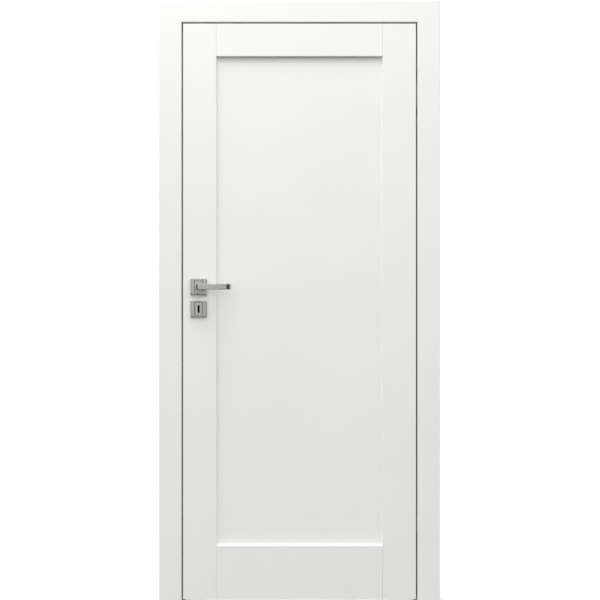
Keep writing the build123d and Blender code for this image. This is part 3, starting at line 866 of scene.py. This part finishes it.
for piece in (lever_rose, lever_plate):
    cut_with(piece, through_hole("neck_hole", SPINDLE_Z, NECK_RADIUS + NECK_PLAY, points=64))
slot_low = (SPINDLE_X - KEY_SLOT, FACE_Y - THROUGH / 2, FOOT_CENTRE_Z)
slot_high = (SPINDLE_X + KEY_SLOT, FACE_Y + THROUGH / 2, EYE_CENTRE_Z)
for piece in (key_rose, key_plate):
    keyhole = through_hole("keyhole", EYE_CENTRE_Z, KEY_EYE, points=48)
    fuse_with(keyhole, through_hole("foot", FOOT_CENTRE_Z, KEY_SLOT, points=32))
    fuse_with(keyhole, block("slot", slot_low, slot_high))
    cut_with(piece, keyhole)
for piece in (lever_rose, key_rose):
    round_edges(piece, ROSE_ROUND)
for piece in (lever_plate, key_plate):
    round_edges(piece, PLATE_ROUND)
print("key plate", len(key_plate.data.polygons), "faces")

# %% Roses and plates on both sides
for piece in (lever_rose, lever_plate, key_rose, key_plate):
    node = piece.name.replace("_body", "")
    rear_node = node.replace("front", "rear")
    twin = other_side(piece, rear_node + "_body")
    hand_over(piece, satin_nickel, "satin_nickel", "leaf", node)
    hand_over(twin, satin_nickel, "satin_nickel", "leaf", rear_node)

# %% [markdown]
# ## Inside the keyhole
#
# No daylight comes through a real keyhole while the key is out, because the lock's tumblers lie across it.
# The exact solids leave them out. One small plate in the middle of the case stands for them. Its near black
# colour is partly blackened steel and partly painted shade, so that the keyhole looks as dark as the shade
# inside a lock.

# %% Tumbler
HALF_WIDE = 0.0065
HALF_THICK = 0.0025
HALF_HIGH = 0.0165
TUMBLER_ROUND = 0.0006
case_low, case_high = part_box("lock_case")
tumbler = block(
    "tumbler",
    (SPINDLE_X - HALF_WIDE, MIDDLE_Y - HALF_THICK, KEY_Z - HALF_HIGH),
    (SPINDLE_X + HALF_WIDE, MIDDLE_Y + HALF_THICK, KEY_Z + HALF_HIGH),
)
round_edges(tumbler, TUMBLER_ROUND)
# The tumbler's near black finish is partly painted shade for the inside of the keyhole.
hand_over(tumbler, painted_shade_black_steel, "lock_steel", "leaf")
print("tumbler in the case between y", round(case_low.y, 4), "and", round(case_high.y, 4))

# %% [markdown]
# ## Eased edges on the small metal
#
# The hinge arms, the hinge bodies, the forend, the strike and the bolts are right as solids, but their edges
# are perfectly sharp. Cast and punched metal never is. Each is copied, because the solid itself stays as it
# is. The copy arrives as loose triangles, so they are merged and the flat ones dissolved into whole faces
# first. Otherwise the bevel would follow every triangle. Then the sharp edges are rounded, by 0.3 mm on
# what is punched and by about twice that on what is cast, forged or worn.

# %% Softened copies
COPY_MERGE = 0.00001
FLAT = math.radians(1.0)


def softened(node, width):
    """A copy of a solid with clean faces and rounded edges."""
    piece = copy_of(nodes[node], node + "_eased")
    piece.parent = None
    edit(piece, "FACE")
    bpy.ops.mesh.select_all(action="SELECT")
    bpy.ops.mesh.remove_doubles(threshold=COPY_MERGE)
    bpy.ops.mesh.dissolve_limited(angle_limit=FLAT)
    close_edit()
    round_edges(piece, width)
    return piece


PUNCHED, CAST, WORN = 0.0003, 0.0005, 0.0006
EASED = {
    "strike_plate": (PUNCHED, plate_steel, "plate_steel", "frame"),
    "lock_forend": (PUNCHED, plate_steel, "plate_steel", "leaf"),
    "latch_bolt": (WORN, lock_zinc, "lock_steel", "leaf"),
    "dead_bolt": (WORN, lock_zinc, "lock_steel", "leaf"),
}
for place in ("upper", "lower"):
    EASED[f"{place}_hinge_frame_housing"] = (CAST, hinge_alloy, "hinge_alloy", "frame")
    EASED[f"{place}_hinge_leaf_housing"] = (CAST, hinge_alloy, "hinge_alloy", "leaf")
    EASED[f"{place}_hinge_frame_arm"] = (WORN, arm_steel, "hinge_arm_steel", "frame_arms")
    EASED[f"{place}_hinge_leaf_arms"] = (WORN, arm_steel, "hinge_arm_steel", "leaf_arms")
for node, (width, finish, slot, body) in EASED.items():
    piece = hand_over(softened(node, width), finish, slot, body, node)
    print(piece.name, len(piece.data.polygons), "faces")

# %% [markdown]
# ## Countersunk screws
#
# The forend, the strike and the hinge bodies are each held by two countersunk screws with a cross recess.
# One screw is modelled at the origin with its head up, and all the others are copies of it. Each pair is
# joined to one piece, because nobody needs to move them apart.

# %% One screw
HEAD_RADIUS = 0.0036
HEAD_DEPTH = 0.0018
HEAD_TAPER = 0.55
SHANK_LENGTH = 0.004
CROSS_LONG = 0.0046
CROSS_WIDE = 0.00085
CROSS_DEEP = 0.0011
CROSS_OVERRUN = 0.001
HEAD_ROUND = 0.00012
# A normal points down where its upward part is below this.
DOWNWARD = -0.9

bpy.ops.object.select_all(action="DESELECT")
bpy.ops.mesh.primitive_cylinder_add(
    vertices=32, radius=HEAD_RADIUS, depth=HEAD_DEPTH, location=(0, 0, -HEAD_DEPTH / 2)
)
screw = start("screw")
edit(screw, "FACE")
choose(screw, "faces", lambda f: f.normal.z < DOWNWARD)
bpy.ops.transform.resize(value=(HEAD_TAPER, HEAD_TAPER, 1), center_override=(0, 0, -HEAD_DEPTH))
bpy.ops.mesh.extrude_region_move(TRANSFORM_OT_translate={"value": (0, 0, -SHANK_LENGTH)})
close_edit()
for wide, high in ((CROSS_LONG, CROSS_WIDE), (CROSS_WIDE, CROSS_LONG)):
    cross = block("cross", (-wide / 2, -high / 2, -CROSS_DEEP), (wide / 2, high / 2, CROSS_OVERRUN))
    cut_with(screw, cross)
round_edges(screw, HEAD_ROUND, angle=VERY_SHARP)
print("screw", len(screw.data.polygons), "faces")

# %% Pairs of screws
def screw_pair(name, places, turn, body):
    """Two copies of the screw, their heads at the given places."""
    bpy.ops.object.select_all(action="DESELECT")
    twins = [copy_of(screw, name) for _ in places]
    for twin, place in zip(twins, places):
        twin.location = place
        twin.rotation_euler = turn
        twin.select_set(True)
    bpy.context.view_layer.objects.active = twins[0]
    bpy.ops.object.join()
    bpy.ops.object.transform_apply(location=True, rotation=True, scale=True)
    pair = bpy.context.object
    pair.name = name
    return hand_over(pair, screw_zinc, "lock_steel", body)


FACING_LEFT = (0, -QUARTER_TURN, 0)
FACING_RIGHT = (0, QUARTER_TURN, 0)
PROUD = 0.0001
FOREND_INSET, STRIKE_INSET, HINGE_INSET = 0.012, 0.011, 0.0042
FOREND_THICK = 0.003


def near_ends(node, x, inset):
    """Places near the lower and upper end of a plate, on its middle line."""
    low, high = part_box(node)
    y = (low.y + high.y) / 2
    return [(x, y, low.z + inset), (x, y, high.z - inset)]


# The forend follows the slanted edge of the leaf, so its face is measured at its middle line.
forend_low, forend_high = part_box("lock_forend")
forend_face = (forend_low.x + forend_high.x - FOREND_THICK) / 2
places = near_ends("lock_forend", forend_face - PROUD, FOREND_INSET)
screw_pair("forend_screws", places, FACING_LEFT, "leaf")
strike_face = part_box("strike_plate")[1].x
places = near_ends("strike_plate", strike_face + PROUD, STRIKE_INSET)
screw_pair("strike_screws", places, FACING_RIGHT, "frame")
for place in ("upper", "lower"):
    for half, turn, outward in (("frame", FACING_LEFT, -1), ("leaf", FACING_RIGHT, 1)):
        node = f"{place}_hinge_{half}_housing"
        low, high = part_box(node)
        face = low.x if outward < 0 else high.x
        places = near_ends(node, face + outward * PROUD, HINGE_INSET)
        screw_pair(f"{place}_hinge_{half}_screws", places, turn, half)
bpy.data.objects.remove(screw)
print("six pairs of screws")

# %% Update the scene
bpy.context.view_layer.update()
import json
